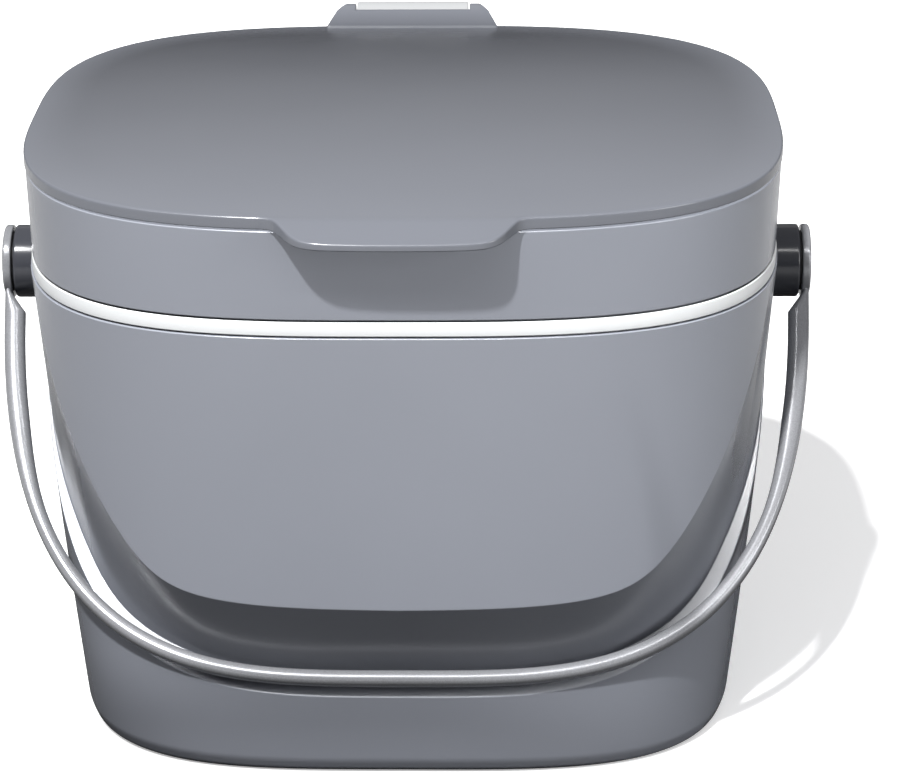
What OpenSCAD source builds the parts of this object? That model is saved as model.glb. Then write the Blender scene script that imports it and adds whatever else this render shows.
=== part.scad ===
// Countertop compost caddy: a tapered squared-oval bucket with a recess that
// the folded bail handle nests in, a light seal ring, a lift-off collar and a
// domed lid hinged at the back. +Z is up, the front faces -Y, and the origin is
// the centre of the flat base.

/* [Bucket] */
// Half width of the bucket mouth
mouth_a = 117.4; // [110:0.1:125]
// Half depth of the bucket mouth
mouth_b = 110.5; // [104:0.1:118]
// Height of the shoulder that the seal ring sits on
shoulder_z = 148.8; // [145:0.1:152]
// Half width of the side wall carried down to the table
foot_a = 105.0; // [102:0.1:108]
// Half depth of the side wall carried down to the table
foot_b = 96.1; // [94:0.1:98]
// Wall thickness of the bucket
wall = 2.8; // [2.4:0.1:3.2]
// Thickness of the floor
floor_t = 3.2; // [2.8:0.1:4]
// Height of the lowest point of the front panel's crease
crease_z = 60.4; // [56:0.1:66]
// Width of the ledge under the handle at the middle of the front
recess_d = 5.4; // [5:0.1:6]

/* [Handle] */
// Height of the handle's pivot axis
pivot_z = 136; // [134:0.5:137]
// Angle of the folded handle below the horizontal
tilt = 46.6; // [45:0.1:48]
// Half width of the handle, outside
bail_a = 129.6; // [129:0.1:131]
// Reach of the handle from its pivot axis, outside
bail_r = 144.0; // [143.4:0.1:144.6]
// Thickness of the handle bar at the front
bar_t = 5.0; // [4.6:0.1:5.4]
// Thickness of the handle's side arms
arm_t = 6.9; // [6:0.1:7]
// Width of the handle bar, square to the handle's plane
bar_w = 6.4; // [6:0.1:7]
// Radius of the handle's end discs and of the hubs
hub_r = 11.75; // [11:0.05:12]
// Radius of the handle's stub axles
stub_r = 5; // [4.5:0.1:5.5]

/* [Seal ring and collar] */
// Top of the seal ring
ring_z = 153.9; // [153.5:0.1:154.5]
// Top of the collar
collar_z = 181.6; // [181:0.1:182]
// Wall thickness of the collar
collar_t = 2.2; // [2:0.1:2.4]

/* [Lid] */
// Half width of the lid's rim
lid_a = 118.3; // [118:0.1:118.8]
// Half depth of the lid's rim
lid_b = 111.0; // [110.8:0.1:111.4]
// Underside of the lid's rim
lid_z = 182.0; // [181.9:0.1:182.2]
// Height of the lid's rim band
rim_h = 3.8; // [3.4:0.1:4.2]
// Rise of the dome above the rim
dome_h = 4.2; // [3.5:0.1:5]
// Thickness of the lid's shell
lid_t = 2.4; // [2:0.1:2.8]
// Reach of the finger tab's tip from the middle
tab_y = 125.2; // [123:0.1:126]

/* [Hinge] */
// Distance of the hinge pin behind the middle
hinge_y = 121; // [120.8:0.1:121.4]
// Height of the hinge pin
hinge_z = 186; // [185.8:0.1:186.2]
// Radius of the hinge pin
pin_r = 1.75; // [1.5:0.05:2]

/* [Hidden] */
$fn = 96;

charcoal = [0.36, 0.37, 0.41];
light_grey = [0.85, 0.86, 0.87];
silver = [0.62, 0.63, 0.66];
steel = [0.75, 0.76, 0.78];
dark = [0.12, 0.12, 0.13];

N = 96;                    // columns around the bucket, the collar and the lid
mouth_n = 3.2;             // squareness of the mouth, 2 is an ellipse
foot_n = 3.57;             // squareness at the table
rim_n = 3.055;             // squareness of the lid
fillet_h = 4.5;            // height of the rounded foot
ledge = 5.3;               // ledge under the handle, below the handle's mid plane
ledge_z = pivot_z - ledge / cos(tilt);
disc_x = 127;              // inner face of the handle's end disc
disc_t = 2.8;
pad_x = 118;               // outer face of the bucket's pivot pad
pad_in = 111.2;              // its inner face
spigot_r = 8;
spigot_x = 109.5;          // inner end of the hub

// ---- helpers ---------------------------------------------------------------

function sg(v) = v < 0 ? -1 : 1;
function clamp01(u) = min(1, max(0, u));
function ease(u) = let (c = clamp01(u)) c * c * (3 - 2 * c);
function mix(a, b, u) = a + (b - a) * u;

// radius of a squared oval at the plan angle t
function so_r(a, b, n, t) =
    pow(pow(abs(cos(t)) / a, n) + pow(abs(sin(t)) / b, n), -1 / n);
// point of a squared oval at the plan angle t, moved inwards by d
function so(a, b, n, t, d = 0) =
    let (p = so_r(a, b, n, t) * [cos(t), sin(t)],
         g = [sg(p[0]) * pow(abs(p[0]) / a, n - 1) / a,
              sg(p[1]) * pow(abs(p[1]) / b, n - 1) / b])
    p - d * g / norm(g);
function up(p, z) = [p[0], p[1], z];

// closed solid through a stack of rings with flat ends, outside going up
module loft(rings) {
    m = len(rings[0]);
    k = len(rings);
    polyhedron(
        points = [for (r = rings) for (p = r) p],
        faces = concat(
            [[for (j = [0:m - 1]) j]],
            [for (i = [0:k - 2]) for (j = [0:m - 1])
                let (q = (j + 1) % m)
                each [[i * m + j, (i + 1) * m + q, i * m + q],
                      [i * m + j, (i + 1) * m + j, (i + 1) * m + q]]],
            [[for (j = [m - 1:-1:0]) (k - 1) * m + j]]));
}

// closed ring: up its outside, down its inside, and the last row meets the first
module hoop(rings) {
    m = len(rings[0]);
    k = len(rings);
    polyhedron(
        points = [for (r = rings) for (p = r) p],
        faces = [for (i = [0:k - 1]) for (j = [0:m - 1])
            let (q = (j + 1) % m, n = (i + 1) % k)
            each [[i * m + j, n * m + q, i * m + q],
                  [i * m + j, n * m + j, n * m + q]]]);
}

// rod along X with its two edges broken, from x0 to x1
module rod(r, x0, x1, c = 0) {
    translate([x0, 0, 0]) rotate([0, 90, 0])
        rotate_extrude()
            polygon(c > 0
                ? [[0, 0], [r - c, 0], [r, c], [r, x1 - x0 - c], [r - c, x1 - x0], [0, x1 - x0]]
                : [[0, 0], [r, 0], [r, x1 - x0], [0, x1 - x0]]);
}
module tube(r, ri, x0, x1, c = 0) {
    translate([x0, 0, 0]) rotate([0, 90, 0])
        rotate_extrude()
            polygon([[ri, 0], [r - c, 0], [r, c], [r, x1 - x0 - c], [r - c, x1 - x0], [ri, x1 - x0]]);
}
// the same on both sides of the bucket, at the handle's pivot
module both_sides() {
    translate([0, 0, pivot_z]) children();
    translate([0, 0, pivot_z]) mirror([1, 0, 0]) children();
}

// ---- bucket ----------------------------------------------------------------

function taper(z) = 1 - pow(1 - min(1, z / shoulder_z), 1.4);
function side_a(z) = mix(foot_a, mouth_a, taper(z));
// the front wall stands upright at the foot and flares late
function side_b(z) = mix(foot_b, mouth_b, pow(min(1, z / shoulder_z), 2.2));
function side_n(z) = mix(foot_n, mouth_n, z / shoulder_z);
function side_r(t, z) = so_r(side_a(z), side_b(z), side_n(z), t);
// front and back panels stand nearly upright
function panel_r(t, z) =
    so_r(mouth_a, mouth_b - 3.54 * (1 - z / shoulder_z), mouth_n, t);
// angle away from the front or back middle
function off_mid(t) = let (m = t % 180) abs(m - 90);
// where the side wall meets the ledge plane under the folded handle
function edge_z(t, z = 60, k = 0) =
    k > 12 ? z : edge_z(t, ledge_z - tan(tilt) * side_r(t, z) * abs(sin(t)), k + 1);
// width of the ledge: wide where the handle nests, a fine lip at the sides
function ledge_d(t) =
    let (m = off_mid(t)) 0.8 + 3.3 * ease((76 - m) / 20) + (recess_d - 4.1) * ease((52 - m) / 15);
// the crease of the panel runs flat across the middle and up to the shoulder
function crease(t) =
    let (u = 3.4 * (off_mid(t) - 37.5))
    min(shoulder_z - 1, crease_z + (u + sqrt(u * u + 441)) / 2);

function ang(j) = 360 * j / N;
function polar(r, t, z) = [r * cos(t), r * sin(t), z];
function foot_ring(d, z) =
    [for (j = [0:N - 1]) polar(side_r(ang(j), z) - d, ang(j), z)];
// side wall between the foot and the ledge, u from 0 to 1
function side_ring(u, d = 0) =
    [for (j = [0:N - 1]) let (t = ang(j), z = mix(fillet_h, edge_z(t), u))
        polar(side_r(t, z) - d, t, z)];
function corner_r(t) = side_r(t, edge_z(t)) - ledge_d(t);
function corner_z(t) = ledge_z - tan(tilt) * corner_r(t) * abs(sin(t));
function corner_ring() =
    [for (j = [0:N - 1]) let (t = ang(j)) polar(corner_r(t), t, corner_z(t))];
function band_ring(u) =
    [for (j = [0:N - 1]) let (t = ang(j), z = crease(t))
        polar(mix(corner_r(t), panel_r(t, z), u), t, mix(corner_z(t), z, u))];
function panel_ring(u) =
    [for (j = [0:N - 1]) let (t = ang(j), z = mix(crease(t), shoulder_z, u))
        polar(panel_r(t, z), t, z)];
function mouth_ring(d, z) =
    [for (j = [0:N - 1]) up(so(mouth_a, mouth_b, mouth_n, ang(j), d), z)];
// inside of the bucket, which widens all the way up
function in_low(t, z) =
    min(side_r(t, z) - wall, corner_r(t) - wall - 0.2);
function in_ring(u, d = 0) =
    [for (j = [0:N - 1]) let (t = ang(j), z = mix(floor_t + 6, corner_z(t), u))
        polar(in_low(t, z) - d, t, z)];
function in_crease_ring() =
    [for (j = [0:N - 1]) let (t = ang(j), z = crease(t) + 0.4,
                              p = so(mouth_a, mouth_b, mouth_n, t, 5.2))
        up(p, z)];

module bucket_shell() {
    loft(concat(
        [foot_ring(3.6, 0), foot_ring(1.9, 0.5), foot_ring(0.7, 1.8)],
        [for (i = [0:6]) side_ring(i / 6)],
        [corner_ring(), band_ring(0.5)],
        [for (i = [0:3]) panel_ring(i / 3)],
        // shoulder and the upstand that the collar drops over
        [mouth_ring(2.6, shoulder_z), mouth_ring(2.7, 157.6),
         mouth_ring(3.1, 158.2), mouth_ring(4.4, 158.2),
         mouth_ring(4.8, 157.4), mouth_ring(5.0, shoulder_z)],
        [in_crease_ring()],
        [for (i = [4:-1:0]) in_ring(i / 4)],
        [[for (j = [0:N - 1]) let (t = ang(j)) polar(in_low(t, floor_t + 2) - 1.7, t, floor_t + 2)],
         [for (j = [0:N - 1]) let (t = ang(j)) polar(in_low(t, floor_t) - 6, t, floor_t)]]));
}

module bin_body() {
    color(charcoal)
    difference() {
        union() {
            bucket_shell();
            both_sides() rod(hub_r + 0.4, pad_in, pad_x, 0.3);
        }
        both_sides() rod(spigot_r, pad_in - 4, pad_x + 4);
    }
}

// ---- seal ring and collar ----------------------------------------------------

module seal_ring() {
    color(light_grey)
    hoop([
        mouth_ring(0.6, shoulder_z + 0.1),
        mouth_ring(0.1, shoulder_z + 0.6),
        mouth_ring(0.7, ring_z - 0.5),
        mouth_ring(1.1, ring_z),
        mouth_ring(2.3, ring_z),
        mouth_ring(2.3, shoulder_z + 0.1)]);
}

// outline of the collar at the height z, moved inwards by d
function collar_ring(d, z) =
    let (u = (z - ring_z) / (collar_z - ring_z))
    [for (j = [0:N - 1])
        up(so(mix(116.8, 118, u), mix(109.8, 110.7, u), mix(mouth_n, rim_n, u), ang(j), d), z)];

module lid_collar() {
    color(charcoal)
    difference() {
        union() {
            hoop([
                collar_ring(0.4, ring_z + 0.1),
                collar_ring(0, ring_z + 0.6),
                collar_ring(0, (ring_z + collar_z) / 2),
                collar_ring(0, collar_z - 0.5),
                collar_ring(0.4, collar_z),
                collar_ring(collar_t, collar_z),
                collar_ring(collar_t, 178.2),
                collar_ring(9, 178.2),
                collar_ring(9.2, 175.8),
                collar_ring(collar_t + 0.6, 174.6),
                collar_ring(collar_t - 0.2, 163),
                collar_ring(collar_t - 0.6, ring_z + 0.1)]);
            // flat pad for the hinge block, and its backing under the inner ledge
            translate([-20, 108.7, 167.5]) cube([40, 2.3, 13]);
            translate([-20, 107.3, 167.5]) cube([40, 2, 9.5]);
        }
        for (s = [-1, 1])
            translate([s * 12, 100, 170.9]) rotate([-90, 0, 0]) cylinder(r = 1.6, h = 20);
    }
}

// ---- hinge -------------------------------------------------------------------

module hinge_block() {
    color(light_grey)
    difference() {
        union() {
            translate([-19.6, hinge_y, hinge_z]) rod(5.5, 0, 39.2, 0.3);
            translate([-19.6, 111.05, 168]) cube([39.2, 9.2, 13.3]);
            translate([-19.6, 116.6, 176]) cube([39.2, 8.4, 8.6]);
        }
        translate([-25, hinge_y, hinge_z]) rod(pin_r + 0.05, 0, 50);
        for (s = [-1, 1])
            translate([s * 12, 108, 170.9]) rotate([-90, 0, 0]) cylinder(r = 1.52, h = 9.5);
    }
}

module hinge_screws() {
    color(steel)
    for (s = [-1, 1])
        translate([s * 12, 0, 170.9]) {
            translate([0, 107.25, 0]) rotate([-90, 0, 0]) cylinder(r = 1.5, h = 9.8);
            difference() {
                translate([0, 105.3, 0]) rotate([-90, 0, 0]) cylinder(r = 2.9, h = 1.95);
                translate([0, 105.2, 0]) rotate([-90, 0, 0]) cylinder(r = 1.5, h = 1.2, $fn = 6);
            }
        }
}

module hinge_pin() {
    color(steel)
    translate([0, hinge_y, hinge_z]) rod(pin_r, -22.2, 22.2, 0.3);
}

// ---- lid ---------------------------------------------------------------------

function lid_ring(d, z) =
    [for (j = [0:N - 1]) up(so(lid_a, lid_b, rim_n, ang(j), d), z)];
// the dome, f from 1 at the rim's edge to 0 in the middle
function dome_z(f) = lid_z + rim_h + dome_h * (1 - pow(f, 2.2));
function dome_ring(f, drop = 0) =
    [for (j = [0:N - 1]) up(f * so(lid_a - 1, lid_b - 1, rim_n, ang(j)), dome_z(f) - drop)];

module lid_shell() {
    loft(concat(
        [[for (j = [0:N - 1]) up(0.06 * so(lid_a, lid_b, rim_n, ang(j)), dome_z(0.06) - lid_t)]],
        [for (f = [0.3, 0.55, 0.75, 0.88]) dome_ring(f, lid_t)],
        [lid_ring(9.2, lid_z), lid_ring(0.3, lid_z), lid_ring(0, lid_z + 0.4),
         lid_ring(0, lid_z + rim_h - 0.9), lid_ring(0.3, lid_z + rim_h - 0.25)],
        [for (f = [1, 0.94, 0.85, 0.7, 0.5, 0.3, 0.12]) dome_ring(f)]));
}

// right half of the finger tab's outline, from the rim to the middle of its tip:
// the distance from the middle plane, and how far behind the tip
tab_half = [[38.6, 15.6], [36.6, 14.9], [35.2, 13.6], [34, 11.8], [32.9, 9.8], [31.8, 7.8],
            [30.6, 5.8], [29.2, 4], [27.2, 2.4], [24.4, 1.3], [20, 0.6], [10, 0.1]];
module finger_tab() {
    k = len(tab_half) - 1;
    intersection() {
        translate([0, 0, 178]) linear_extrude(height = 12)
            polygon(concat([[-36.5, -103.5], [36.5, -103.5]],
                           [for (p = tab_half) [p[0], p[1] - tab_y]],
                           [for (i = [k:-1:0]) [-tab_half[i][0], tab_half[i][1] - tab_y]]));
        // side view: the top bends down at the rim, the underside rises to it
        translate([-40, 0, 0]) rotate([90, 0, 90]) linear_extrude(height = 80)
            polygon([[-103, 182.4], [-103, 185.2], [-109.8, 185.5], [-111.6, 185.1],
                     [-tab_y - 1, 181.95], [-tab_y - 1, 180.2], [-111.9, 182.1]]);
    }
}

// the tongue at the back of the lid carries the two hinge ears
module hinge_tongue() {
    half = [[30.4, 105], [29.2, 107.5], [28.4, 110], [27.4, 113], [26.3, 115.5],
            [25.2, 118], [24.3, 120.5], [23.4, 123], [22.4, 124.8], [21.4, 127]];
    difference() {
        intersection() {
            translate([0, 0, 178]) linear_extrude(height = 16)
                polygon(concat([for (p = half) p],
                               [for (i = [len(half) - 1:-1:0]) [-half[i][0], half[i][1]]]));
            union() {
                translate([-32, 0, 0]) rotate([90, 0, 90]) linear_extrude(height = 64)
                    polygon([[104.6, 182.4], [104.6, 185.9], [105.3, 187.1], [110, 188.8],
                             [114.6, 190.3], [117.6, 190.8], [121, 190.9], [122, 186], [118.5, 182.4]]);
                translate([-32, hinge_y, hinge_z]) rod(4.9, 0, 64);
            }
        }
        translate([-20, 115, 175]) cube([40, 20, 20]);
        translate([-22.4, hinge_y, hinge_z]) rod(pin_r + 0.01, 0, 44.8);
    }
}

module lid() {
    color(charcoal)
    union() {
        lid_shell();
        finger_tab();
        hinge_tongue();
    }
}

module lid_gasket() {
    color(dark)
    hoop([
        collar_ring(4.2, 178.5),
        collar_ring(2.8, 180.2),
        collar_ring(2.8, lid_z),
        collar_ring(7.6, lid_z),
        collar_ring(7.6, 180.2),
        collar_ring(6.4, 178.5)]);
}

// ---- handle ------------------------------------------------------------------

// thin beside the end disc, then thick arms that slim down towards the front
function bar_at(s) = min(mix(2.4, arm_t, clamp01((s - 12.2) / 7.3)),
                         mix(arm_t, bar_t, ease((s - 54) / 41)));
// the outside of the handle in its own plane, s is the distance from the pivot axis
function bail_x(s) = bail_a * pow(1 - pow(min(1, s / bail_r), 2.5), 1 / 3.4);
function bail_s(x) = bail_r * pow(1 - pow(min(1, abs(x) / bail_a), 3.4), 1 / 2.5);
function bail_ring(q) =
    let (ro = norm(q), dir = q / ro,
         th = bar_at(q[1]),
         m = 12)
    [for (i = [0:m - 1])
        let (c = cos(360 * i / m), v = sin(360 * i / m),
             dr = th / 2 * (sg(c) * pow(abs(c), 0.85) - 1),
             w = bar_w / 2 * sg(v) * pow(abs(v), 0.85),
             x = (ro + dr) * dir[0], s = (ro + dr) * dir[1])
        [x, -s * cos(tilt) - w * sin(tilt), pivot_z - s * sin(tilt) + w * cos(tilt)]];

module handle() {
    // stations along the bar, closer together beside the discs
    arm = [3.6, 7, 10, 12.2, 14, 15.9, 17.7, 19.6, 23, 28, 34, 41, 48, 55, 62, 69, 76, 83, 90, 97];
    n = len(arm) - 1;
    xm = bail_x(arm[n]);
    st = concat([for (s = arm) [bail_x(s), s]],
                [for (i = [1:27]) let (x = xm * sin(90 * (1 - i / 14))) [x, bail_s(x)]],
                [for (i = [n:-1:0]) [-bail_x(arm[i]), arm[i]]]);
    color(silver)
    difference() {
        union() {
            loft([for (q = st) bail_ring(q)]);
            both_sides() {
                rod(hub_r, disc_x, disc_x + disc_t, 0.5);
                rod(stub_r, spigot_x - 0.2, disc_x + 1);
            }
        }
        both_sides() rod(1.52, spigot_x - 4, spigot_x + 9);
    }
}

module hub(x_sign) {
    color(charcoal)
    translate([0, 0, pivot_z])
        mirror([x_sign < 0 ? 1 : 0, 0, 0])
            difference() {
                union() {
                    rod(hub_r, pad_x, disc_x - 0.7, 0.3);
                    rod(spigot_r - 0.03, spigot_x, pad_x + 1);
                }
                rod(stub_r + 0.05, spigot_x - 2, disc_x + 2);
            }
}
module pivot_hub_left() { hub(-1); }
module pivot_hub_right() { hub(1); }

module hub_nuts() {
    color(charcoal)
    both_sides()
        difference() {
            translate([pad_in - 2.4, 0, 0]) rotate([0, 90, 0]) cylinder(r = 11, h = 2.4, $fn = 8);
            rod(spigot_r + 0.02, pad_in - 4, pad_in + 2);
        }
}

module friction_washers() {
    color(dark)
    both_sides() tube(9.6, stub_r + 0.1, disc_x - 0.65, disc_x - 0.05);
}

module retaining_washers() {
    color(steel)
    both_sides() tube(7.2, 1.6, spigot_x - 1.2, spigot_x - 0.2);
}

module pivot_screws() {
    color(steel)
    both_sides()
        difference() {
            union() {
                rod(1.5, spigot_x - 1.3, spigot_x + 8);
                rod(3.1, spigot_x - 3.2, spigot_x - 1.2, 0.3);
            }
            translate([spigot_x - 3.3, 0, 0]) rotate([0, 90, 0]) cylinder(r = 1.5, h = 1.3, $fn = 6);
        }
}

bin_body();
seal_ring();
lid_collar();
hinge_block();
hinge_screws();
lid();
lid_gasket();
hinge_pin();
handle();
pivot_hub_left();
pivot_hub_right();
hub_nuts();
friction_washers();
retaining_washers();
pivot_screws();
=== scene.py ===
# Countertop compost caddy: looks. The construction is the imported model's; every
# shape here follows it in metres, with finer columns and rounded edges.
import math

import bmesh
import bpy
import numpy as np
from mathutils import Matrix, Vector


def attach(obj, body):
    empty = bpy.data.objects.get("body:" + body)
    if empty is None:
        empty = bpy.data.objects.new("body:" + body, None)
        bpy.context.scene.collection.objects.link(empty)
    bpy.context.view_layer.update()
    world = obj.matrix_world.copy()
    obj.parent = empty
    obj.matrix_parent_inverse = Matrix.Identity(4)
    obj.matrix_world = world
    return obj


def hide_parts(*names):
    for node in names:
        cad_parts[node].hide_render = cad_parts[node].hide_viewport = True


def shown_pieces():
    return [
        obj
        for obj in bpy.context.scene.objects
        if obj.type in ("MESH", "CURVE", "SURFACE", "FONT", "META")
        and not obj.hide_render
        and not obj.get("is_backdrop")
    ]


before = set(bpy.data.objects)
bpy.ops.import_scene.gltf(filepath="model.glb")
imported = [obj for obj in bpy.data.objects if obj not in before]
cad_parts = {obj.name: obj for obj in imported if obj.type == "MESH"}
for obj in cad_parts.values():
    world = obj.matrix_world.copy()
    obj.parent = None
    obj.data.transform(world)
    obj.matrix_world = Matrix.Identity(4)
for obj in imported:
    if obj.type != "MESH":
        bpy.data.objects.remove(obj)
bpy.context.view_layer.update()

MM = 0.001

# ---- dimensions in millimetres, the same as the CAD's -------------------------
MOUTH_A, MOUTH_B, MOUTH_N = 117.4, 110.5, 3.2
FOOT_A, FOOT_B, FOOT_N = 105.0, 96.1, 3.57
SHOULDER, WALL, FLOOR_T = 148.8, 2.8, 3.2
CREASE_Z, RECESS_D, FILLET_H = 60.4, 5.4, 4.5
PIVOT_Z, TILT = 136.0, math.radians(46.6)
BAIL_A, BAIL_R, BAR_T, ARM_T, BAR_W = 129.6, 144.0, 5.0, 6.9, 6.4
HUB_R, STUB_R = 11.75, 5.0
RING_Z, COLLAR_Z, COLLAR_T = 153.9, 181.6, 2.2
LID_A, LID_B, LID_N, LID_Z = 118.3, 111.0, 3.055, 182.0
RIM_H, DOME_H, LID_T = 3.8, 4.2, 2.4
TAB_Y = 125.2
HINGE_Y, HINGE_Z, PIN_R = 121.0, 186.0, 1.75
DISC_X, DISC_T, PAD_X, PAD_IN = 127.0, 2.8, 118.0, 111.2
SPIGOT_R, SPIGOT_X = 8.0, 109.5
LEDGE_Z = PIVOT_Z - 5.3 / math.cos(TILT)


def ease(u):
    c = np.clip(u, 0, 1)
    return c * c * (3 - 2 * c)


def mix(a, b, u):
    return a + (b - a) * u


# ---- squared ovals -------------------------------------------------------------
def so_r(a, b, n, t):
    return ((np.abs(np.cos(t)) / a) ** n + (np.abs(np.sin(t)) / b) ** n) ** (-1 / n)


def so(a, b, n, t, d=0.0):
    """Points of a squared oval at the plan angles t, moved inwards by d."""
    r = so_r(a, b, n, t)
    x, y = r * np.cos(t), r * np.sin(t)
    gx = np.sign(x) * (np.abs(x) / a) ** (n - 1) / a
    gy = np.sign(y) * (np.abs(y) / b) ** (n - 1) / b
    g = np.hypot(gx, gy)
    return np.stack([x - d * gx / g, y - d * gy / g], -1)


def up(p, z):
    return np.concatenate([p, np.broadcast_to(z, p.shape[:1])[:, None]], -1)


def taper(z):
    return 1 - (1 - np.minimum(1, z / SHOULDER)) ** 1.4


def side_r(t, z):
    u = taper(z)
    b = mix(FOOT_B, MOUTH_B, np.minimum(1, z / SHOULDER) ** 2.2)
    return so_r(mix(FOOT_A, MOUTH_A, u), b, mix(FOOT_N, MOUTH_N, z / SHOULDER), t)


def panel_r(t, z):
    return so_r(MOUTH_A, MOUTH_B - 3.54 * (1 - z / SHOULDER), MOUTH_N, t)


def off_mid(t):
    return np.abs(np.degrees(t) % 180 - 90)


def edge_z(t):
    z = 60 + 0 * t
    for _ in range(16):
        z = LEDGE_Z - math.tan(TILT) * side_r(t, z) * np.abs(np.sin(t))
    return z


def ledge_d(t):
    m = off_mid(t)
    return 0.8 + 3.3 * ease((76 - m) / 20) + (RECESS_D - 4.1) * ease((52 - m) / 15)


def crease(t):
    u = 3.4 * (off_mid(t) - 37.5)
    return np.minimum(SHOULDER - 1, CREASE_Z + (u + np.sqrt(u * u + 441)) / 2)


def corner_r(t):
    return side_r(t, edge_z(t)) - ledge_d(t)


def corner_z(t):
    return LEDGE_Z - math.tan(TILT) * corner_r(t) * np.abs(np.sin(t))


# ---- meshes ---------------------------------------------------------------------
def soft_normals(me):
    """Vertex normals weighted by face area, so that a wide face beside a narrow fillet stays even."""
    n = len(me.vertices)
    co = np.empty(n * 3)
    me.vertices.foreach_get("co", co)
    co = co.reshape(-1, 3)
    acc = np.zeros((n, 3))
    for p in me.polygons:
        acc[list(p.vertices)] += np.array(p.normal) * p.area
    length = np.linalg.norm(acc, axis=1, keepdims=True)
    me.normals_split_custom_set_from_vertices(acc / np.maximum(length, 1e-20))


def make(name, verts, faces, body, nodes, material, normals=True):
    me = bpy.data.meshes.new(name)
    me.from_pydata([tuple(np.asarray(v, float) * MM) for v in verts], [], faces)
    me.validate()
    me.shade_smooth()
    me.materials.append(material)
    if normals:
        soft_normals(me)
    o = bpy.data.objects.new(name, me)
    bpy.context.scene.collection.objects.link(o)
    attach(o, body)
    if nodes:
        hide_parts(*nodes)
    return o


class Shell:
    """Vertices and faces of one object, gathered from several closed surfaces."""

    def __init__(self):
        self.v, self.f = [], []

    def loft(self, rings, start=True, end=True, loop=False):
        """Rings in order; outwards is to the left of the way they go round when they go up."""
        base, k, m = len(self.v), len(rings), len(rings[0])
        for r in rings:
            self.v.extend([tuple(p) for p in r])
        rows = range(k if loop else k - 1)
        for i in rows:
            n = (i + 1) % k
            for j in range(m):
                q = (j + 1) % m
                self.f.append((base + i * m + j, base + i * m + q, base + n * m + q, base + n * m + j))
        if start and not loop:
            c = len(self.v)
            self.v.append(tuple(np.mean(np.array(rings[0]), 0)))
            for j in range(m):
                self.f.append((c, base + (j + 1) % m, base + j))
        if end and not loop:
            c = len(self.v)
            self.v.append(tuple(np.mean(np.array(rings[-1]), 0)))
            e = base + (k - 1) * m
            for j in range(m):
                self.f.append((c, e + j, e + (j + 1) % m))
        return self

    def lathe_x(self, profile, y, z, sign=1, m=96, loop=False):
        """Profile of (x, r) turned about an X line; closed where r is 0."""
        a = np.arange(m) * 2 * math.pi / m
        rings = []
        for x, r in profile:
            rings.append(np.stack([np.full(m, sign * x), y + r * np.cos(a), z + r * np.sin(a)], -1))
        if sign < 0:
            rings = [r[::-1] for r in rings]
        return self.loft(rings, loop=loop)


def arc_chain(pts, radii, seg=5):
    """A polyline with its corners rounded; the number of points stays the same for any shape.
    pts is (K, M, 2), radii has K values, 0 for a corner that stays."""
    pts = np.asarray(pts, float)
    out = []
    for k in range(len(pts)):
        if k in (0, len(pts) - 1) or not np.any(radii[k]):
            out.append(pts[k])
            continue
        p, a, b = pts[k], pts[k - 1], pts[k + 1]
        da, db = a - p, b - p
        la, lb = np.linalg.norm(da, axis=-1), np.linalg.norm(db, axis=-1)
        ua, ub = da / la[:, None], db / lb[:, None]
        cosang = np.clip(np.sum(ua * ub, -1), -1, 1)
        half = np.arccos(cosang) / 2
        want = radii[k] / np.maximum(np.tan(half), 1e-6)
        cut = np.minimum(want, 0.45 * np.minimum(la, lb))
        s, e = p + ua * cut[:, None], p + ub * cut[:, None]
        for i in range(seg + 1):
            u = i / seg
            out.append((1 - u) ** 2 * s + 2 * u * (1 - u) * p + u * u * e)
    return out


def ring_profile(shape, seg=4):
    """Rounded polyline of (inward offset, z) pairs as ((d, z, radius), ...)."""
    pts = np.array([[[d, z]] for d, z, _ in shape], float)
    return [tuple(p[0]) for p in arc_chain(pts, [r for _, _, r in shape], seg)]


def prism_x(shell, outline, x0, x1):
    """Closed outline of (y, z) points, from x0(y) to x1(y)."""
    m = len(outline)
    base = len(shell.v)
    for x in (x0, x1):
        for y, z in outline:
            shell.v.append((x(y) if callable(x) else x, y, z))
    area = sum(outline[i][0] * outline[(i + 1) % m][1] - outline[(i + 1) % m][0] * outline[i][1] for i in range(m))
    flip = area < 0
    a = tuple(base + i for i in range(m))
    b = tuple(base + m + i for i in range(m))
    faces = [a[::-1], b] + [(a[i], a[(i + 1) % m], b[(i + 1) % m], b[i]) for i in range(m)]
    shell.f.extend([f[::-1] for f in faces] if flip else faces)
    return shell


def round_edges(o, width, segments=3, angle=32):
    """Bevels the edges of a finished object and applies the result to its mesh."""
    bev = o.modifiers.new("round", "BEVEL")
    bev.width, bev.segments = width * MM, segments
    bev.limit_method, bev.angle_limit = "ANGLE", math.radians(angle)
    bev.harden_normals = False
    bpy.context.view_layer.update()
    me = bpy.data.meshes.new_from_object(o.evaluated_get(bpy.context.evaluated_depsgraph_get()))
    o.modifiers.clear()
    o.data = me
    me.shade_smooth()
    soft_normals(me)
    return o


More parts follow.
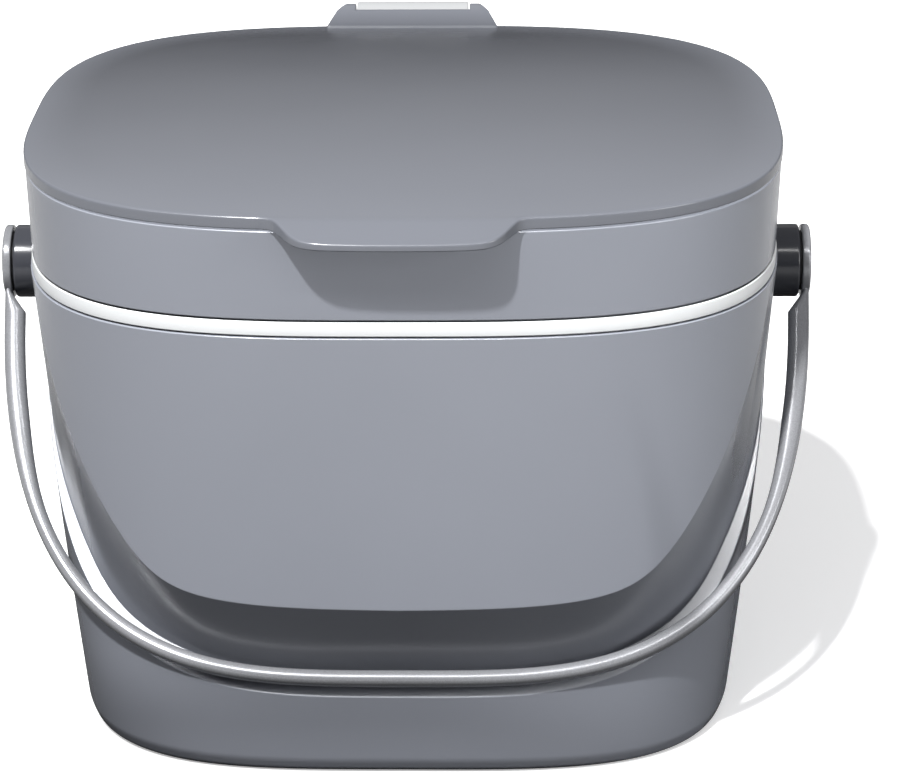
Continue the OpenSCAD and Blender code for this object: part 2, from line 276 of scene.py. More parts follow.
# ---- materials --------------------------------------------------------------------
def plastic(name, colour, rough, spec=0.5, vary=0.05, grain=0.02, grain_scale=2600.0, metallic=0.0,
            coat=0.0, coat_rough=0.1, rough_vary=0.05, flake=0.0, scuff=0.0):
    """Moulded or painted surface: slow colour drift, uneven gloss, a fine surface grain and
    a few hair-fine rub marks."""
    m = bpy.data.materials.new(name)
    m.use_nodes = True
    nt = m.node_tree
    b = nt.nodes["Principled BSDF"]
    b.inputs["Metallic"].default_value = metallic
    b.inputs["Specular IOR Level"].default_value = spec
    b.inputs["Coat Weight"].default_value = coat
    b.inputs["Coat Roughness"].default_value = coat_rough
    tc = nt.nodes.new("ShaderNodeTexCoord")

    def noise(scale, detail, rough_=0.5):
        n = nt.nodes.new("ShaderNodeTexNoise")
        n.inputs["Scale"].default_value = scale
        n.inputs["Detail"].default_value = detail
        n.inputs["Roughness"].default_value = rough_
        nt.links.new(tc.outputs["Object"], n.inputs["Vector"])
        return n

    slow = noise(9.0, 3.0)
    ramp = nt.nodes.new("ShaderNodeValToRGB")
    lo = [c * (1 - vary) for c in colour] + [1]
    hi = [min(1, c * (1 + vary)) for c in colour] + [1]
    ramp.color_ramp.elements[0].position, ramp.color_ramp.elements[0].color = 0.3, lo
    ramp.color_ramp.elements[1].position, ramp.color_ramp.elements[1].color = 0.7, hi
    nt.links.new(slow.outputs["Fac"], ramp.inputs["Fac"])
    colour_out = ramp.outputs["Color"]
    if flake:
        spark = nt.nodes.new("ShaderNodeTexVoronoi")
        spark.inputs["Scale"].default_value = 3200.0
        nt.links.new(tc.outputs["Object"], spark.inputs["Vector"])
        fl = nt.nodes.new("ShaderNodeMapRange")
        fl.inputs["From Min"].default_value, fl.inputs["From Max"].default_value = 0.0, 1.0
        fl.inputs["To Min"].default_value, fl.inputs["To Max"].default_value = 1 - flake, 1 + flake
        sep = nt.nodes.new("ShaderNodeSeparateColor")
        nt.links.new(spark.outputs["Color"], sep.inputs["Color"])
        nt.links.new(sep.outputs["Red"], fl.inputs["Value"])
        mul = nt.nodes.new("ShaderNodeVectorMath")
        mul.operation = "SCALE"
        nt.links.new(colour_out, mul.inputs[0])
        nt.links.new(fl.outputs["Result"], mul.inputs["Scale"])
        colour_out = mul.outputs["Vector"]
    nt.links.new(colour_out, b.inputs["Base Color"])
    # uneven gloss, with faint long rub marks
    patch = noise(38.0, 4.0, 0.6)
    rr = nt.nodes.new("ShaderNodeMapRange")
    rr.inputs["From Min"].default_value, rr.inputs["From Max"].default_value = 0.25, 0.75
    rr.inputs["To Min"].default_value = max(0.02, rough - rough_vary)
    rr.inputs["To Max"].default_value = min(1, rough + rough_vary)
    nt.links.new(patch.outputs["Fac"], rr.inputs["Value"])
    rough_out = rr.outputs["Result"]
    if scuff:
        st = nt.nodes.new("ShaderNodeMapping")
        st.inputs["Scale"].default_value = (60.0, 900.0, 900.0)
        st.inputs["Rotation"].default_value = (0.0, 0.0, 0.5)
        nt.links.new(tc.outputs["Object"], st.inputs["Vector"])
        sn = nt.nodes.new("ShaderNodeTexNoise")
        sn.inputs["Scale"].default_value, sn.inputs["Detail"].default_value = 1.0, 2.0
        nt.links.new(st.outputs["Vector"], sn.inputs["Vector"])
        sr = nt.nodes.new("ShaderNodeMapRange")
        sr.inputs["From Min"].default_value, sr.inputs["From Max"].default_value = 0.62, 0.8
        sr.inputs["To Min"].default_value, sr.inputs["To Max"].default_value = 0.0, scuff
        nt.links.new(sn.outputs["Fac"], sr.inputs["Value"])
        add = nt.nodes.new("ShaderNodeMath")
        add.operation = "ADD"
        nt.links.new(rough_out, add.inputs[0])
        nt.links.new(sr.outputs["Result"], add.inputs[1])
        rough_out = add.outputs["Value"]
    nt.links.new(rough_out, b.inputs["Roughness"])
    fine = noise(grain_scale, 2.0)
    bump = nt.nodes.new("ShaderNodeBump")
    bump.inputs["Strength"].default_value = grain
    bump.inputs["Distance"].default_value = 0.0002
    nt.links.new(fine.outputs["Fac"], bump.inputs["Height"])
    nt.links.new(bump.outputs["Normal"], b.inputs["Normal"])
    return m


CHARCOAL = plastic("charcoal_shell_plastic", (0.148, 0.156, 0.178), 0.21, spec=0.5, vary=0.03,
                   grain=0.03, coat=0.0, rough_vary=0.035, scuff=0.03)
LIGHT = plastic("light_ring_plastic", (0.43, 0.44, 0.445), 0.42, vary=0.02, grain=0.05, rough_vary=0.06)
# the light ring's plastic made darker for the hinge block: painted shade, standing in for less light falling on it
LIGHT_PAINTED_SHADE = plastic("light_ring_plastic_painted_shade", (0.34, 0.345, 0.35), 0.5, spec=0.3, vary=0.02, grain=0.05, rough_vary=0.06)
SILVER = plastic("silver_handle_paint", (0.26, 0.265, 0.28), 0.22, vary=0.04, grain=0.05, metallic=0.3,
                 coat=0.15, coat_rough=0.12, rough_vary=0.04, flake=0.1)
# the charcoal made much darker for the pivot hubs: painted shade, for the shadow they sit in beside the body
CHARCOAL_PAINTED_SHADE = plastic("charcoal_hub_painted_shade", (0.040, 0.042, 0.050), 0.17, spec=0.5, vary=0.03, grain=0.02, rough_vary=0.03)
RUBBER = plastic("dark_rubber_seal", (0.022, 0.022, 0.024), 0.75, vary=0.15, grain=0.25, grain_scale=1500.0)
WASHER = plastic("dark_washer_plastic", (0.03, 0.03, 0.033), 0.55, vary=0.1, grain=0.1)
STEEL = plastic("brushed_steel", (0.55, 0.56, 0.58), 0.32, vary=0.06, grain=0.15, grain_scale=3000.0,
                metallic=1.0, rough_vary=0.1)

# ---- bucket ------------------------------------------------------------------------
M = 480
T = (np.arange(M) + 0.5) * 2 * math.pi / M


def polar(rz):
    return np.stack([rz[:, 0] * np.cos(T), rz[:, 0] * np.sin(T), rz[:, 1]], -1)


def rz(r, z):
    return np.stack([r + 0 * T, z + 0 * T], -1)


ze, zc, zk, rc = edge_z(T), corner_z(T), crease(T), corner_r(T)
pts, rad = [], []


def put(r, z, radius=0.0):
    pts.append(rz(r, z))
    rad.append(radius)


put(side_r(T, 0) - 3.6, 0)
put(side_r(T, 0.5) - 1.9, 0.5)
put(side_r(T, 1.8) - 0.7, 1.8)
for i in range(24):
    z = mix(FILLET_H, ze, i / 24)
    put(side_r(T, z), z)
put(side_r(T, ze), ze, 0.55)
put(rc, zc, 0.4)
for i in (0.25, 0.5, 0.75):
    z = mix(zc, zk, i)
    put(mix(rc, panel_r(T, zk), i), z)
put(panel_r(T, zk), zk, 1.1)
for i in range(1, 8):
    z = mix(zk, SHOULDER, i / 8)
    put(panel_r(T, z), z)
put(panel_r(T, SHOULDER), SHOULDER, 0.35)
chain = arc_chain(pts + [rz(panel_r(T, SHOULDER) - 2.6, SHOULDER)], rad + [0], 5)
# the first turn at the foot is rounded too
foot = arc_chain([rz(side_r(T, 0) - 4.6, 0), rz(side_r(T, 0) - 2.7, 0), rz(side_r(T, 1.2) - 0.95, 1.2),
                  rz(side_r(T, 4.5), 4.5), rz(side_r(T, 9), 9)], [0, 1.6, 3.2, 8, 0], 4)
rings = [polar(p) for p in foot[:-1]] + [polar(p) for p in chain[6:]]


def mouth(d, z):
    return up(so(MOUTH_A, MOUTH_B, MOUTH_N, T, d), z)


def in_low(z):
    return np.minimum(side_r(T, z) - WALL, rc - WALL - 0.2)


rings[-1] = mouth(2.6, SHOULDER)
rings += [mouth(d, z) for d, z in ring_profile(
    [(2.6, SHOULDER, 0), (2.7, 158.2, 0.5), (4.8, 158.2, 0.6), (5.0, SHOULDER, 0)], 4)][1:]
rings.append(up(so(MOUTH_A, MOUTH_B, MOUTH_N, T, 5.2), zk + 0.4))
for i in range(8, -1, -1):
    z = mix(FLOOR_T + 6, zc, i / 8)
    rings.append(polar(rz(in_low(z), z)))
rings.append(polar(rz(in_low(FLOOR_T + 2.6) - 0.9, FLOOR_T + 2.6)))
rings.append(polar(rz(in_low(FLOOR_T + 0.8) - 3.0, FLOOR_T + 0.8)))
rings.append(polar(rz(in_low(FLOOR_T) - 6, FLOOR_T)))
shell = Shell().loft(rings)
for s in (1, -1):
    shell.lathe_x([(PAD_IN, 0.01), (PAD_IN, 8.0), (PAD_IN, HUB_R + 0.1), (PAD_IN + 0.3, HUB_R + 0.4),
                   (PAD_X - 0.5, HUB_R + 0.4), (PAD_X - 0.15, HUB_R + 0.28), (PAD_X, HUB_R - 0.1),
                   (PAD_X, 8.0), (PAD_X, 0.01)], 0, PIVOT_Z, s)
make("bucket", shell.v, shell.f, "bin", ["bin_body"], CHARCOAL)

# ---- seal ring -----------------------------------------------------------------------
shape = [(2.3, SHOULDER + 0.1, 0), (1.5, SHOULDER + 0.1, 0), (1.5, 149.35, 0), (0.42, 149.35, 0.35), (0.3, 151.4, 0),
         (0.5, 153.65, 0.4), (1.15, 153.65, 0.1), (1.15, 152.2, 0), (2.3, 152.2, 0)]
prof = ring_profile(shape, 5)
Shell_ring = Shell().loft([mouth(d, z) for d, z in prof], loop=True)
make("seal_ring_fine", Shell_ring.v, Shell_ring.f, "bin", ["seal_ring"], LIGHT)

# ---- collar ----------------------------------------------------------------------------


def collar(d, z):
    u = (z - RING_Z) / (COLLAR_Z - RING_Z)
    return up(so(mix(116.8, 118, u), mix(109.8, 110.7, u), mix(MOUTH_N, LID_N, u), T, d), z)


shape = [(COLLAR_T - 0.6, RING_Z + 0.35, 0), (0, RING_Z + 0.35, 0.35), (0, 160, 0), (0, 168, 0), (0, 175, 0),
         (0, COLLAR_Z - 0.25, 0.45), (COLLAR_T, COLLAR_Z - 0.25, 0.3), (COLLAR_T, 178.2, 0.3), (9.0, 178.2, 0.5), (9.2, 175.8, 0.5),
         (COLLAR_T + 0.6, 174.6, 0.8), (COLLAR_T - 0.2, 163, 0)]
c = Shell().loft([collar(d, z) for d, z in ring_profile(shape, 4)], loop=True)
pad = [(107.3, 167.9), (107.6, 167.5), (111.0, 167.5), (111.0, 180.5), (108.7, 180.5), (108.7, 177.0), (107.3, 177.0)]
prism_x(c, pad, -20.0, 20.0)
make("collar_ring_fine", c.v, c.f, "collar", ["lid_collar"], CHARCOAL)

# ---- hinge block ---------------------------------------------------------------------------
h = Shell()
h.lathe_x([(-19.6, 0.01), (-19.6, 5.1), (-19.5, 5.35), (-19.25, 5.5), (19.25, 5.5), (19.5, 5.35), (19.6, 5.1), (19.6, 0.01)],
          HINGE_Y, HINGE_Z)
hb = make("hinge_block_barrel", h.v, h.f, "collar", [], LIGHT_PAINTED_SHADE)
h = Shell()
prism_x(h, [(111.05, 168.0), (120.25, 168.0), (120.25, 176.0), (125.0, 177.5), (125.0, 184.6), (116.6, 184.6),
            (116.6, 181.3), (111.05, 181.3)], -19.6, 19.6)
hf = make("hinge_block_foot", h.v, h.f, "collar", ["hinge_block"], LIGHT_PAINTED_SHADE)
round_edges(hf, 0.5)

# ---- lid -----------------------------------------------------------------------------------
ROOT = 36.5            # half width of the tab where it leaves the rim


def rim_y(x):
    """Front outline of the lid without its tab, as a positive distance."""
    return LID_B * (1 - (np.abs(x) / LID_A) ** LID_N) ** (1 / LID_N)


# outline of one half of the tab, from its root at the rim to the middle of its tip
knots = np.array([[40.6, 16.0], [38.6, 15.6], [36.6, 14.9], [35.2, 13.6], [34, 11.8], [32.9, 9.8], [31.8, 7.8], [30.6, 5.8],
                  [29.2, 4], [27.2, 2.4], [24.4, 1.3], [20, 0.6], [10, 0.1], [0, 0]])
knots[:, 1] = TAB_Y - knots[:, 1]
start = np.array([ROOT + 3.4, rim_y(ROOT + 3.4)])
knots = np.concatenate([[start], knots[knots[:, 1] > rim_y(knots[:, 0]) + 0.1]])
cum = np.concatenate([[0], np.cumsum(np.linalg.norm(np.diff(knots, axis=0), axis=1))])
s = np.linspace(0, cum[-1], 400)
half = np.stack([np.interp(s, cum, knots[:, 0]), np.interp(s, cum, knots[:, 1])], -1)
for _ in range(160):                    # eases the corners between the knots
    half[1:-1] = 0.25 * half[:-2] + 0.5 * half[1:-1] + 0.25 * half[2:]
cum = np.concatenate([[0], np.cumsum(np.linalg.norm(np.diff(half, axis=0), axis=1))])
KT = 64                                 # columns in one half of the tab
s = np.linspace(0, cum[-1], KT + 1)
half = np.stack([np.interp(s, cum, half[:, 0]), np.interp(s, cum, half[:, 1])], -1)
# inner ends of the same columns on the rim line
share = s / cum[-1]
inner_x = start[0] * (1 - (0.52 * share + 0.48 * share ** 1.6))
inner = np.stack([inner_x, rim_y(inner_x)], -1)

a0 = math.atan2(-start[1], start[0])    # plan angle where the tab starts, on the right
# angles of the free rim, counter-clockwise from the tab's right end round the back to its left end
left = math.atan2(-start[1], -start[0]) + 2 * math.pi
TF = np.linspace(a0, left, 421)[1:-1]
outer_free = so(LID_A, LID_B, LID_N, TF)
tab_right = np.stack([half[:, 0], -half[:, 1]], -1)          # from the right root to the tip's middle
tab_left = np.stack([-half[:, 0], -half[:, 1]], -1)[::-1][1:]  # and on to the left root
in_right = np.stack([inner[:, 0], -inner[:, 1]], -1)
in_left = np.stack([-inner[:, 0], -inner[:, 1]], -1)[::-1][1:]
# columns counter-clockwise: free rim, left root -> tip -> right root
OUT = np.concatenate([outer_free, tab_left[::-1], tab_right[::-1][1:]])
INN = np.concatenate([outer_free, in_left[::-1], in_right[::-1][1:]])
IS_TAB = np.concatenate([np.zeros(len(outer_free)), np.ones(len(tab_left) + len(tab_right) - 1)])
TI = np.arctan2(INN[:, 1], INN[:, 0])


def lid_in(d):
    return so(LID_A, LID_B, LID_N, TI, d)


def dome_z(f):
    return LID_Z + RIM_H + DOME_H * (1 - f ** 2.2)


def beyond(p):
    """How far a point lies in front of the plain rim."""
    x = np.minimum(np.abs(p[:, 0]), 60)
    return np.maximum(0, -p[:, 1] - rim_y(x)) * (p[:, 1] < 0) * (np.abs(p[:, 0]) < 60)


def top_z(p):
    """Height of the lid's top outside the dome: level with its edge, then down along the tab."""
    e = beyond(p) + 1.0
    k = 1.1
    soft = (np.sqrt((e - 1.6) ** 2 + k * k) + (e - 1.6)) / 2
    base = (np.sqrt(0.6 ** 2 + k * k) - 0.6) / 2
    return LID_Z + RIM_H - 0.262 * np.maximum(0, soft - base)


def low_z(p):
    return LID_Z - 1.75 * np.clip(beyond(p) / 14.2, 0, 1)


rows = []
rows.append(up(0.012 * lid_in(1), dome_z(0.012) - LID_T))
for f in (0.1, 0.2, 0.35, 0.5, 0.65, 0.78, 0.88):
    rows.append(up(f * lid_in(1), dome_z(f) - LID_T))
rows.append(up(lid_in(9.2), LID_Z))
rows.append(up(lid_in(1.4), LID_Z))
# outward direction of the outline itself, for its rounded edges
nxt, prv = np.roll(OUT, -1, 0), np.roll(OUT, 1, 0)
tan = nxt - prv
nrm = np.stack([tan[:, 1], -tan[:, 0]], -1)
nrm /= np.linalg.norm(nrm, axis=1, keepdims=True)
for _ in range(2):
    nrm = 0.25 * np.roll(nrm, 1, 0) + 0.5 * nrm + 0.25 * np.roll(nrm, -1, 0)
    nrm /= np.linalg.norm(nrm, axis=1, keepdims=True)
R_TOP, R_LOW = 0.85, 0.4
inset = OUT - nrm * R_LOW
for u in (0.25, 0.5, 0.75):
    p = mix(lid_in(1.0), inset, u)
    rows.append(up(p, low_z(p)))
zl = low_z(OUT)
zt = top_z(OUT - nrm * R_TOP)
for i in range(5):
    a = i / 4 * math.pi / 2
    rows.append(up(OUT - nrm * (R_LOW * (1 - math.sin(a))), zl + R_LOW * (1 - math.cos(a))))
for u in (0.33, 0.67):
    rows.append(up(OUT, mix(zl + R_LOW, zt - R_TOP, u)))
for i in range(7):
    a = i / 6 * math.pi / 2
    rows.append(up(OUT - nrm * (R_TOP * (1 - math.cos(a))), zt - R_TOP * (1 - math.sin(a))))
inset = OUT - nrm * R_TOP
for u in np.linspace(0, 1, 12)[1:-1]:
    p = mix(inset, lid_in(1.02), u)
    rows.append(up(p, top_z(p)))
for f in (1.0, 0.985, 0.96, 0.92, 0.86, 0.8, 0.72, 0.64, 0.55, 0.46, 0.37, 0.28, 0.2, 0.13, 0.07, 0.03, 0.01):
    rows.append(up(f * lid_in(1), dome_z(f)))
L = Shell().loft(rows)
lid = make("lid_fine", L.v, L.f, "lid", ["lid"], CHARCOAL)

# tongue behind the dome, with the two hinge ears
HALF = np.array([[30.4, 104.4], [29.2, 107.5], [28.4, 110], [27.4, 113], [26.3, 115.5], [25.2, 118],
                 [24.3, 120.5], [23.4, 123], [22.4, 124.8], [21.4, 127]])


def tongue_w(y):
    return float(np.interp(y, HALF[:, 1], HALF[:, 0]))


SIDE = np.array([[104.6, 185.9], [105.3, 187.1], [110, 188.8], [114.6, 190.3], [117.6, 190.8], [121, 190.9]])
t = Shell()
ringsT = []
yst = list(np.linspace(104.7, 106.2, 6)) + list(np.linspace(107, 115.0, 10))
for y in yst:
    f = min(1.0, (y - 104.4) / 1.6)
    w = tongue_w(y) - 1.1 * (1 - f) ** 2
    zt_ = float(np.interp(y, SIDE[:, 0], SIDE[:, 1]))
    zb = 182.5
    r = 1.0
    pr = []
    for a in np.linspace(0, math.pi / 2, 6):
        pr.append((w - r * (1 - math.cos(a)), zt_ - r * (1 - math.sin(a))))
    row = [(w, y, zb)] + [(x, y, z) for x, z in pr] + [(x, y, zt_) for x in np.linspace(w - r, -(w - r), 9)[1:-1]] \
        + [(-x, y, z) for x, z in pr[::-1]] + [(-w, y, zb)]
    ringsT.append(np.array(row))
t.loft(ringsT[::-1])
tongue = make("lid_tongue", t.v, t.f, "lid", [], CHARCOAL)

arc = [(HINGE_Y + 4.9 * math.cos(a), HINGE_Z + 4.9 * math.sin(a)) for a in np.linspace(math.pi / 2, -0.72 * math.pi, 22)]
ear = [(113.5, 182.5), (113.5, 189.94), (114.6, 190.3), (117.6, 190.8), (120.0, 190.88)] + arc
e = Shell()
prism_x(e, ear, 20.0, tongue_w)
right_ear = make("lid_ear_right", e.v, e.f, "lid", [], CHARCOAL, normals=False)
e = Shell()
prism_x(e, ear, lambda y: -tongue_w(y), -20.0)
left_ear = make("lid_ear_left", e.v, e.f, "lid", [], CHARCOAL, normals=False)
for o in (right_ear, left_ear):
    round_edges(o, 0.45)

# ---- handle ------------------------------------------------------------------------------------


def bar_at(s_):
    return min(mix(2.4, ARM_T, min(1.0, max(0.0, (s_ - 12.2) / 7.3))), mix(ARM_T, BAR_T, float(ease((s_ - 54) / 41))))


def bail_ring(q, m=40):
    ro = math.hypot(q[0], q[1])
    th = bar_at(q[1])
    a = np.arange(m) / m * 2 * math.pi
    cs, sn = np.cos(a), np.sin(a)
    dr = th / 2 * (np.sign(cs) * np.abs(cs) ** 0.85 - 1)
    w = BAR_W / 2 * np.sign(sn) * np.abs(sn) ** 0.85
    x, s_ = (ro + dr) * q[0] / ro, (ro + dr) * q[1] / ro
    return np.stack([x, -s_ * math.cos(TILT) - w * math.sin(TILT), PIVOT_Z - s_ * math.sin(TILT) + w * math.cos(TILT)], -1)


arm = np.concatenate([np.linspace(3.6, 12.0, 8), np.linspace(12.2, 19.6, 22), np.linspace(20.4, 97, 110)])
arm_x = BAIL_A * (1 - (arm / BAIL_R) ** 2.5) ** (1 / 3.4)
turn = arm_x[-1] * np.cos(np.linspace(0, math.pi, 260)[1:-1])
st = ([(x, s_) for x, s_ in zip(arm_x, arm)]
      + [(x, BAIL_R * (1 - (abs(x) / BAIL_A) ** 3.4) ** (1 / 2.5)) for x in turn]
      + [(-x, s_) for x, s_ in zip(arm_x[::-1], arm[::-1])])
hd = Shell()
hd.loft([bail_ring(q) for q in st])
for sgn in (1, -1):
    hd.lathe_x([(DISC_X, 0.01), (DISC_X, HUB_R - 0.5), (DISC_X + 0.15, HUB_R - 0.15), (DISC_X + 0.5, HUB_R),
                (DISC_X + DISC_T - 0.9, HUB_R), (DISC_X + DISC_T - 0.45, HUB_R - 0.13), (DISC_X + DISC_T - 0.14, HUB_R - 0.45),
                (DISC_X + DISC_T, HUB_R - 0.95), (DISC_X + DISC_T, 0.01)], 0, PIVOT_Z, sgn)
    hd.lathe_x([(SPIGOT_X - 0.2, 0.01), (SPIGOT_X - 0.2, 1.5), (SPIGOT_X - 0.2, STUB_R - 0.2), (SPIGOT_X, STUB_R),
                (DISC_X + 1, STUB_R), (DISC_X + 1, 0.01)], 0, PIVOT_Z, sgn)
make("bail_handle", hd.v, hd.f, "handle", ["handle"], SILVER)

# ---- pivots -----------------------------------------------------------------------------------
for nm, node, sgn in (("hub_right_fine", "pivot_hub_right", 1), ("hub_left_fine", "pivot_hub_left", -1)):
    hu = Shell()
    x1 = DISC_X - 0.7
    hu.lathe_x([(SPIGOT_X, STUB_R + 0.05), (SPIGOT_X, SPIGOT_R - 0.3), (SPIGOT_X + 0.3, SPIGOT_R - 0.03),
                (PAD_X, SPIGOT_R - 0.03), (PAD_X, HUB_R - 0.5), (PAD_X + 0.15, HUB_R - 0.15), (PAD_X + 0.5, HUB_R),
                (x1 - 0.8, HUB_R), (x1 - 0.4, HUB_R - 0.1), (x1 - 0.1, HUB_R - 0.4), (x1, HUB_R - 0.8),
                (x1, STUB_R + 0.05)], 0, PIVOT_Z, sgn, loop=True)
    make(nm, hu.v, hu.f, "bin", [node], CHARCOAL_PAINTED_SHADE)

# ---- CAD nodes that stay, with their own finishes -----------------------------------------------
for node, mat in (("hinge_screws", STEEL), ("hinge_pin", STEEL), ("pivot_screws", STEEL),
                  ("retaining_washers", STEEL), ("friction_washers", WASHER), ("hub_nuts", CHARCOAL),
                  ("lid_gasket", RUBBER)):
    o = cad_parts[node]
    if not o.material_slots:
        o.data.materials.append(mat)
    for sl in o.material_slots:
        sl.material = mat

# ---- floor, light, camera -------------------------------------------------------------------------
fm = bpy.data.meshes.new("floor")
fm.from_pydata([(-4, -4, 0), (4, -4, 0), (4, 4, 0), (-4, 4, 0)], [], [(0, 1, 2, 3)])
floor = bpy.data.objects.new("floor", fm)
bpy.context.scene.collection.objects.link(floor)
floor.location.z = -0.0002
floor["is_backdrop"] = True
fmat = bpy.data.materials.new("floor_paper")
fmat.use_nodes = True
nt = fmat.node_tree
fb = nt.nodes["Principled BSDF"]
fb.inputs["Roughness"].default_value = 0.9
fb.inputs["Specular IOR Level"].default_value = 0.0
fb.inputs["Emission Color"].default_value = (1.0, 1.0, 1.0, 1)
lp = nt.nodes.new("ShaderNodeLightPath")
# painted reflection and shade: the paper looks white to the camera, what the caddy mirrors of it is dimmer, most of
# all close by, and it throws back little light onto the caddy
tcf = nt.nodes.new("ShaderNodeTexCoord")
away = nt.nodes.new("ShaderNodeVectorMath")
away.operation = "LENGTH"
nt.links.new(tcf.outputs["Object"], away.inputs[0])


def seen_mix(base, cam_v, near_v, far_v):
    g = nt.nodes.new("ShaderNodeMapRange")
    g.inputs["From Min"].default_value, g.inputs["From Max"].default_value = 0.20, 0.42
    g.inputs["To Min"].default_value, g.inputs["To Max"].default_value = near_v - base, far_v - base
    nt.links.new(away.outputs["Value"], g.inputs["Value"])
    a = nt.nodes.new("ShaderNodeMath")
    a.operation = "MULTIPLY_ADD"
    a.inputs[2].default_value = base
    nt.links.new(lp.outputs["Is Glossy Ray"], a.inputs[0])
    nt.links.new(g.outputs["Result"], a.inputs[1])
    b_ = nt.nodes.new("ShaderNodeMath")
    b_.operation = "MULTIPLY_ADD"
    b_.inputs[1].default_value = cam_v - base
    nt.links.new(lp.outputs["Is Camera Ray"], b_.inputs[0])
    nt.links.new(a.outputs["Value"], b_.inputs[2])
    return b_.outputs["Value"]


nt.links.new(seen_mix(0.06, 0.90, 0.05, 0.34), fb.inputs["Base Color"])
nt.links.new(seen_mix(0.0, 0.36, 0.01, 0.14), fb.inputs["Emission Strength"])
fm.materials.append(fmat)

world = bpy.data.worlds.new("studio")
bpy.context.scene.world = world
world.use_nodes = True
wn = world.node_tree
bg = wn.nodes["Background"]
tcw = wn.nodes.new("ShaderNodeTexCoord")
sepw = wn.nodes.new("ShaderNodeSeparateXYZ")
wn.links.new(tcw.outputs["Generated"], sepw.inputs["Vector"])
rw = wn.nodes.new("ShaderNodeValToRGB")
cr = rw.color_ramp
stops = [(0.0, 0.02), (0.10, 0.06), (0.30, 0.21), (0.60, 0.28), (1.0, 0.28)]
while len(cr.elements) < len(stops):
    cr.elements.new(0.5)
for el, (pos_, v) in zip(cr.elements, stops):
    el.position = pos_
    el.color = (v, v, v * 1.04, 1)
wn.links.new(sepw.outputs["Z"], rw.inputs["Fac"])
wn.links.new(rw.outputs["Color"], bg.inputs["Color"])
bg.inputs["Strength"].default_value = 1.0


def light(name, kind, place, aim, energy, **values):
    data = bpy.data.lights.new(name, kind)
    data.energy = energy
    for k_, v_ in values.items():
        setattr(data, k_, v_)
    o = bpy.data.objects.new(name, data)
    bpy.context.scene.collection.objects.link(o)
    o.location = place
    o.rotation_euler = (Vector(place) - Vector(aim)).to_track_quat("Z", "Y").to_euler()
    return o


KEY = Vector((-5.8, -13.2, 20.6)).normalized()
key = light("key", "SUN", KEY * 3, (0, 0, 0), 5.5, angle=math.radians(2.6))
key.data.specular_factor = 0.5
# a long strip above the camera draws thin lines along the rounded edges
strip = light("strip", "AREA", (-0.15, -1.05, 1.45), (0, 0, 0.1), 14.0, shape="RECTANGLE", size=3.0, size_y=0.09)
# a tall card behind, mirrored in the lid's front half
light("back_card", "AREA", (0.0, 1.5, 0.85), (0, 0, 0.19), 0.9, shape="RECTANGLE", size=3.0, size_y=0.6)
# soft overhead light on the walls only
top = light("top_soft", "AREA", (-0.1, -0.50, 1.60), (0, -0.1, 0.1), 64.0, shape="RECTANGLE", size=0.9, size_y=0.3)
right_fill = light("right_fill", "AREA", (1.1, -0.7, 0.45), (0, 0, 0.1), 5.0, shape="RECTANGLE", size=0.5, size_y=0.5)
walls = bpy.data.collections.new("lit_walls")
no_block = bpy.data.collections.new("blocks_top_soft")
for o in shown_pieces():
    if o.name in ("bucket", "seal_ring_fine", "collar_ring_fine"):
        walls.objects.link(o)
        no_block.objects.link(o)
top.light_linking.receiver_collection = walls
top.light_linking.blocker_collection = no_block
all_block = bpy.data.collections.new("blocks_strip")
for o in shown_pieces():
    all_block.objects.link(o)
for o in (strip, right_fill):
    o.light_linking.blocker_collection = all_block

# a graded scrim between the key and the rear of the lid
scrim_t = (np.arange(96)) * 2 * math.pi / 96
outline = so(LID_A - 3, LID_B - 3, LID_N, scrim_t) * MM
lift = KEY * (0.45 / KEY.z)
sm = bpy.data.meshes.new("scrim")
sm.from_pydata([(x + lift.x, y + lift.y, 0.187 + lift.z) for x, y in outline], [], [tuple(range(96))])
scrim = bpy.data.objects.new("scrim", sm)
bpy.context.scene.collection.objects.link(scrim)
scrim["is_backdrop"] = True
scrim.visible_camera = scrim.visible_glossy = scrim.visible_diffuse = False
smat = bpy.data.materials.new("scrim_cloth")
smat.use_nodes = True
nt = smat.node_tree
nt.nodes.clear()
out = nt.nodes.new("ShaderNodeOutputMaterial")
tr = nt.nodes.new("ShaderNodeBsdfTransparent")
sc = nt.nodes.new("ShaderNodeTexCoord")
ss = nt.nodes.new("ShaderNodeSeparateXYZ")
sr_ = nt.nodes.new("ShaderNodeMapRange")
sr_.interpolation_type = "LINEAR"
sr_.inputs["From Min"].default_value = -0.112 + lift.y
sr_.inputs["From Max"].default_value = 0.12 + lift.y
sr_.inputs["To Min"].default_value, sr_.inputs["To Max"].default_value = 1.0, 0.02
nt.links.new(sc.outputs["Object"], ss.inputs["Vector"])
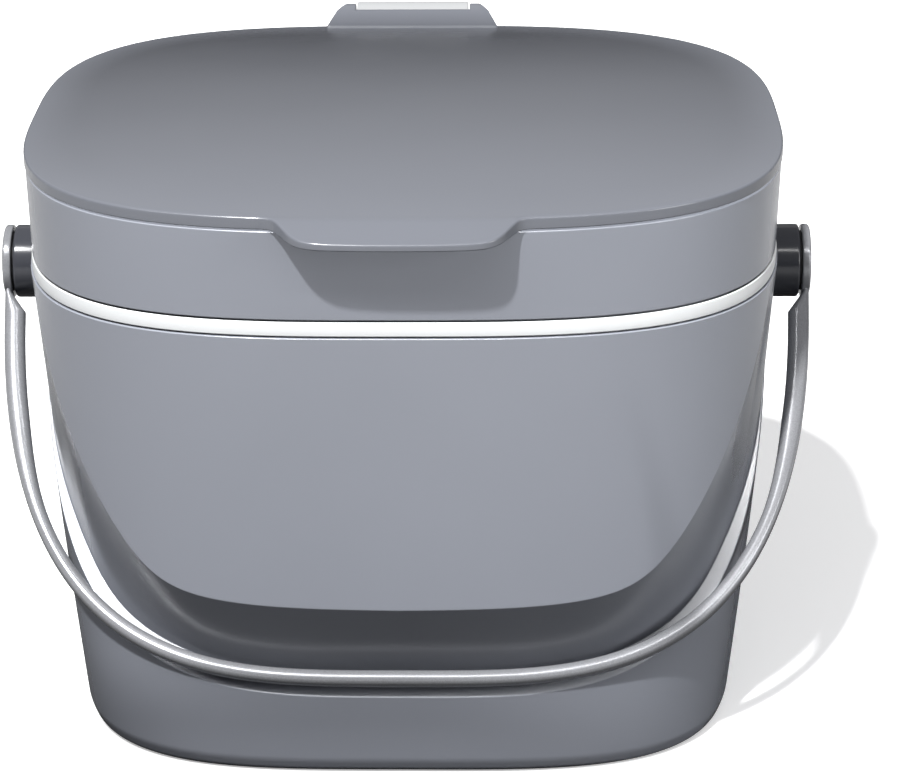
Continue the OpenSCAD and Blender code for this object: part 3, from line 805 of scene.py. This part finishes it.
nt.links.new(ss.outputs["Y"], sr_.inputs["Value"])
nt.links.new(sr_.outputs["Result"], tr.inputs["Color"])
nt.links.new(tr.outputs["BSDF"], out.inputs["Surface"])
sm.materials.append(smat)

# a half-open flag between the key and the foot
ft = np.radians(np.linspace(183, 357, 121))
edge_ = so(FOOT_A, FOOT_B, FOOT_N, ft) * MM
low = KEY * (0.25 / KEY.z)
fl_v = ([(x + low.x, y + low.y - 0.035, low.z) for x, y in edge_]
        + [(x + low.x, y + low.y + 0.018 - 0.010 * float(ease((x - 0.01) / 0.085)), low.z) for x, y in edge_])
gm = bpy.data.meshes.new("flag")
gm.from_pydata(fl_v, [], [(i, i + 1, i + 122, i + 121) for i in range(120)])
flag = bpy.data.objects.new("flag", gm)
bpy.context.scene.collection.objects.link(flag)
flag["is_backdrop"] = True
flag.visible_camera = flag.visible_glossy = flag.visible_diffuse = False
gmat = bpy.data.materials.new("flag_net")
gmat.use_nodes = True
nt = gmat.node_tree
nt.nodes.clear()
out = nt.nodes.new("ShaderNodeOutputMaterial")
tr = nt.nodes.new("ShaderNodeBsdfTransparent")
tr.inputs["Color"].default_value = (0.33, 0.33, 0.33, 1)
nt.links.new(tr.outputs["BSDF"], out.inputs["Surface"])
gm.materials.append(gmat)

cam = bpy.data.cameras.new("camera")
cam.sensor_width = 36.0
cam.lens = 128.78
cam.shift_x, cam.shift_y = 0.0445, 0.0091
cam.clip_start, cam.clip_end = 0.01, 50
co = bpy.data.objects.new("camera", cam)
bpy.context.scene.collection.objects.link(co)
pos, target, roll = Vector((0.02589, -0.98921, 0.46692)), Vector((0.00077, 0.0, 0.08859)), -0.009
fwd = (target - pos).normalized()
r0 = fwd.cross(Vector((0, 0, 1))).normalized()
u0 = r0.cross(fwd)
right = math.cos(roll) * r0 + math.sin(roll) * u0
upv = right.cross(fwd)
rot = Matrix((right, upv, -fwd)).transposed()
co.matrix_world = Matrix.Translation(pos) @ rot.to_4x4()
bpy.context.scene.camera = co
bpy.context.scene.view_settings.view_transform = "Standard"
